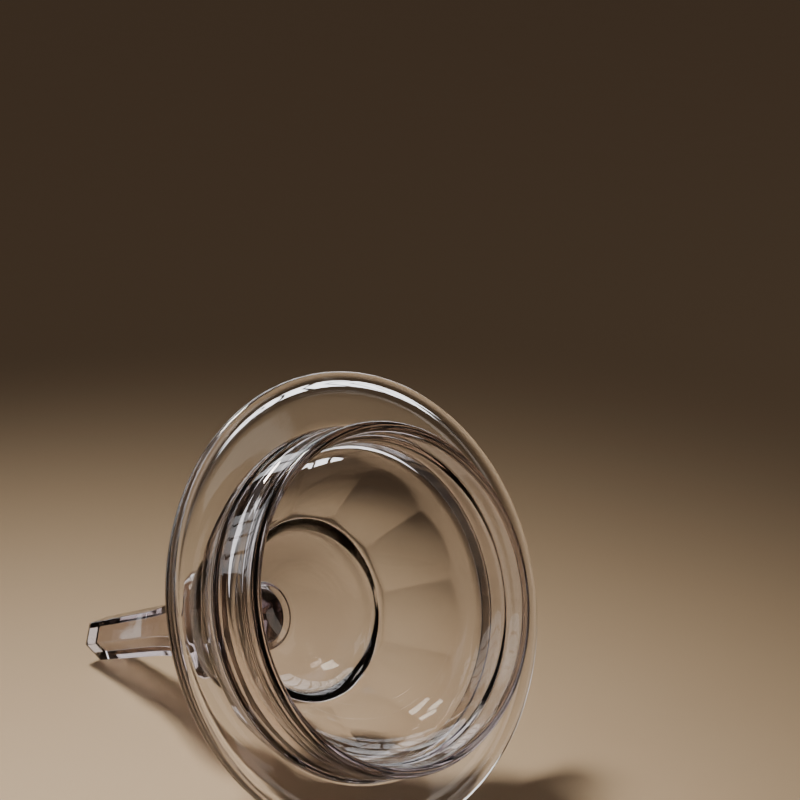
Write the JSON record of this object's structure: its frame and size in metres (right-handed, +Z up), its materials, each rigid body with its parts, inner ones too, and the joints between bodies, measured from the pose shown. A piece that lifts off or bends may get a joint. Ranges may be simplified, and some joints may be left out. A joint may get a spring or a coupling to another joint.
{
  "type": "glass jar cover",
  "caption": "Clear cut-glass cover for a footed jar: wide beaded brim, locating collar, panelled flank, domed crown and tall six-sided finial, lying on brim and finial.",
  "frame": {"origin": "centre of the bounding box's bottom face, on the table that the cover lies on", "axes": "+Z up from the table; the cover lies with its finial towards -X and its opening towards +X and up; +Y across the brim"},
  "size_m": [0.1614, 0.13, 0.1196],
  "materials": {
    "cover_glass": "fire-polished clear glass, faintly warm",
    "merese_glass": "fire-polished clear glass",
    "finial_glass": "cut and polished solid glass"
  },
  "bodies": {
    "root": {"cover": "cover_glass", "merese": "merese_glass", "finial": "finial_glass"}
  },
  "joints": []
}
